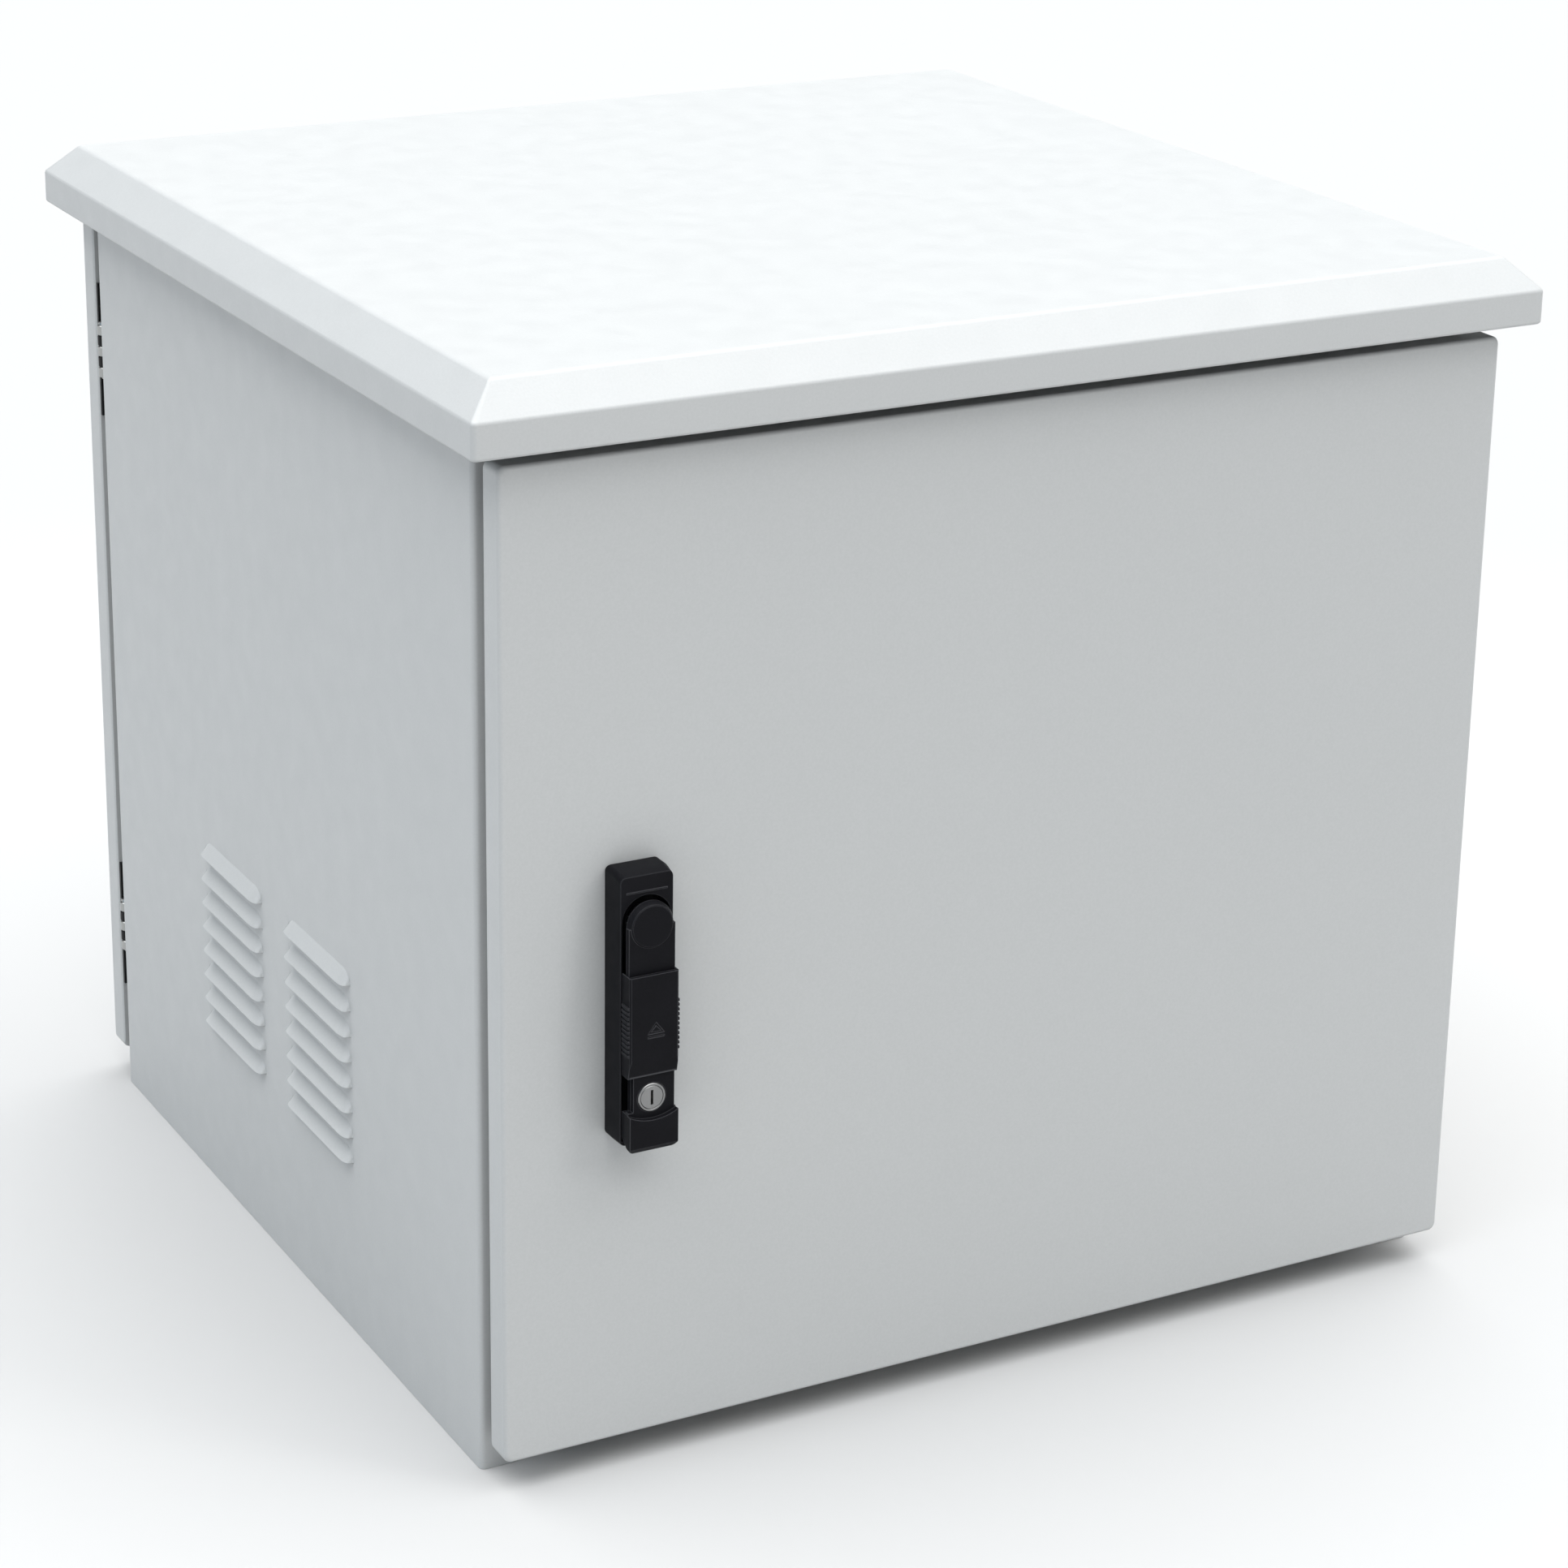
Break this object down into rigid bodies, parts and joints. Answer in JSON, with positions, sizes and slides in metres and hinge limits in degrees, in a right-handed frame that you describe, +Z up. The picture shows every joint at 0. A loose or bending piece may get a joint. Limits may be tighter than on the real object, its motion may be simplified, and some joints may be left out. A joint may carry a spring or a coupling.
{
  "type": "battery cabinet",
  "caption": "Light grey steel outdoor battery cabinet with overhanging canopy roof, louvred sides, hinged front and rear doors, inner shelves and a black swing handle.",
  "frame": {"origin": "centre of the base's underside, on the base pan's lower face", "axes": "+Z up, -Y out of the front door, +X to the right seen from the front; the rear door faces +Y"},
  "size_m": [0.635, 0.6402, 0.6],
  "materials": {
    "light_grey_paint": "fine-textured light grey powder coat, satin",
    "black_plastic": "black glass-filled plastic, lightly grained",
    "black_rubber": "black foam or EPDM rubber",
    "zinc_plate": "bright zinc-plated steel",
    "black_steel": "black e-coated steel",
    "lock_metal": "nickel-plated lock metal",
    "filter_mat": "off-white non-woven filter mat"
  },
  "bodies": {
    "cabinet": {"left_side_panel": "light_grey_paint", "right_side_panel": "light_grey_paint", "base_pan": "light_grey_paint", "body_top": "light_grey_paint", "roof_canopy": "light_grey_paint", "front_opening_frame": "light_grey_paint", "rear_opening_frame": "light_grey_paint", "lower_shelf": "light_grey_paint", "upper_shelf": "light_grey_paint", "gland_plate": "zinc_plate", "cable_grommet_left": "black_rubber", "left_filter_frame": "black_steel", "left_filter_mat": "filter_mat", "roof_standoff_left_front": "zinc_plate", "left_front_upright": "zinc_plate", "roof_standoff_left_rear": "zinc_plate", "left_rear_upright": "zinc_plate", "lower_shelf_rail_left": "zinc_plate", "upper_shelf_rail_left": "zinc_plate", "cable_grommet_right": "black_rubber", "right_filter_frame": "black_steel", "right_filter_mat": "filter_mat", "roof_standoff_right_front": "zinc_plate", "right_front_upright": "zinc_plate", "roof_standoff_right_rear": "zinc_plate", "right_rear_upright": "zinc_plate", "lower_shelf_rail_right": "zinc_plate", "upper_shelf_rail_right": "zinc_plate", "front_lower_hinge_frame_leaf": "black_steel", "front_lower_hinge_pin": "zinc_plate", "front_upper_hinge_frame_leaf": "black_steel", "front_upper_hinge_pin": "zinc_plate", "rear_lower_hinge_frame_leaf": "black_steel", "rear_lower_hinge_pin": "zinc_plate", "rear_upper_hinge_frame_leaf": "black_steel", "rear_upper_hinge_pin": "zinc_plate"},
    "front_door": {"front_door_panel": "light_grey_paint", "front_door_gasket": "black_rubber", "front_door_stiffener": "light_grey_paint", "front_lower_hinge_door_leaf": "black_steel", "front_upper_hinge_door_leaf": "black_steel", "handle_base": "black_plastic", "handle_backing_plate": "zinc_plate"},
    "rear_door": {"rear_door_panel": "light_grey_paint", "rear_door_gasket": "black_rubber", "rear_door_stiffener": "light_grey_paint", "rear_lower_hinge_door_leaf": "black_steel", "rear_upper_hinge_door_leaf": "black_steel", "rear_lock_housing": "black_plastic", "rear_lock_nut": "zinc_plate"},
    "handle_turning_unit": {"handle_spindle": "zinc_plate", "latch_cam": "zinc_plate", "cam_bolt": "zinc_plate", "lever_pin": "zinc_plate"},
    "swing_lever": {"handle_lever": "black_plastic", "lock_cylinder": "lock_metal"},
    "dust_cover": {"lock_cover": "black_plastic"},
    "key_barrel": {"key_plug": "lock_metal"},
    "rear_lock_barrel": {"rear_lock_plug": "lock_metal", "rear_lock_cam": "zinc_plate"}
  },
  "joints": [
    {"name": "front_door_hinge", "type": "hinge", "parent": "cabinet", "child": "front_door", "pos_m": [0.2955, -0.2775, 0.287], "axis": [0, 0, 1], "range_deg": [0, 110]},
    {"name": "handle_turn", "type": "hinge", "parent": "front_door", "child": "handle_turning_unit", "pos_m": [-0.2267, -0.3165, 0.3155], "axis": [0, -1, 0], "range_deg": [0, 90]},
    {"name": "handle_lift", "type": "hinge", "parent": "handle_turning_unit", "child": "swing_lever", "pos_m": [-0.2267, -0.3165, 0.3155], "axis": [-1, 0, 0], "range_deg": [0, 25]},
    {"name": "lock_cover_slide", "type": "slide", "parent": "swing_lever", "child": "dust_cover", "axis": [0, 0, -1], "range_m": [0, 0.0185]},
    {"name": "key_turn", "type": "hinge", "parent": "swing_lever", "child": "key_barrel", "pos_m": [-0.2267, -0.3245, 0.222], "axis": [0, 1, 0], "range_deg": [0, 90]},
    {"name": "rear_door_hinge", "type": "hinge", "parent": "cabinet", "child": "rear_door", "pos_m": [-0.2955, 0.2775, 0.287], "axis": [0, 0, 1], "range_deg": [0, 110]},
    {"name": "rear_lock_turn", "type": "hinge", "parent": "rear_door", "child": "rear_lock_barrel", "pos_m": [0.236, 0.3005, 0.287], "axis": [0, -1, 0], "range_deg": [0, 90]}
  ]
}
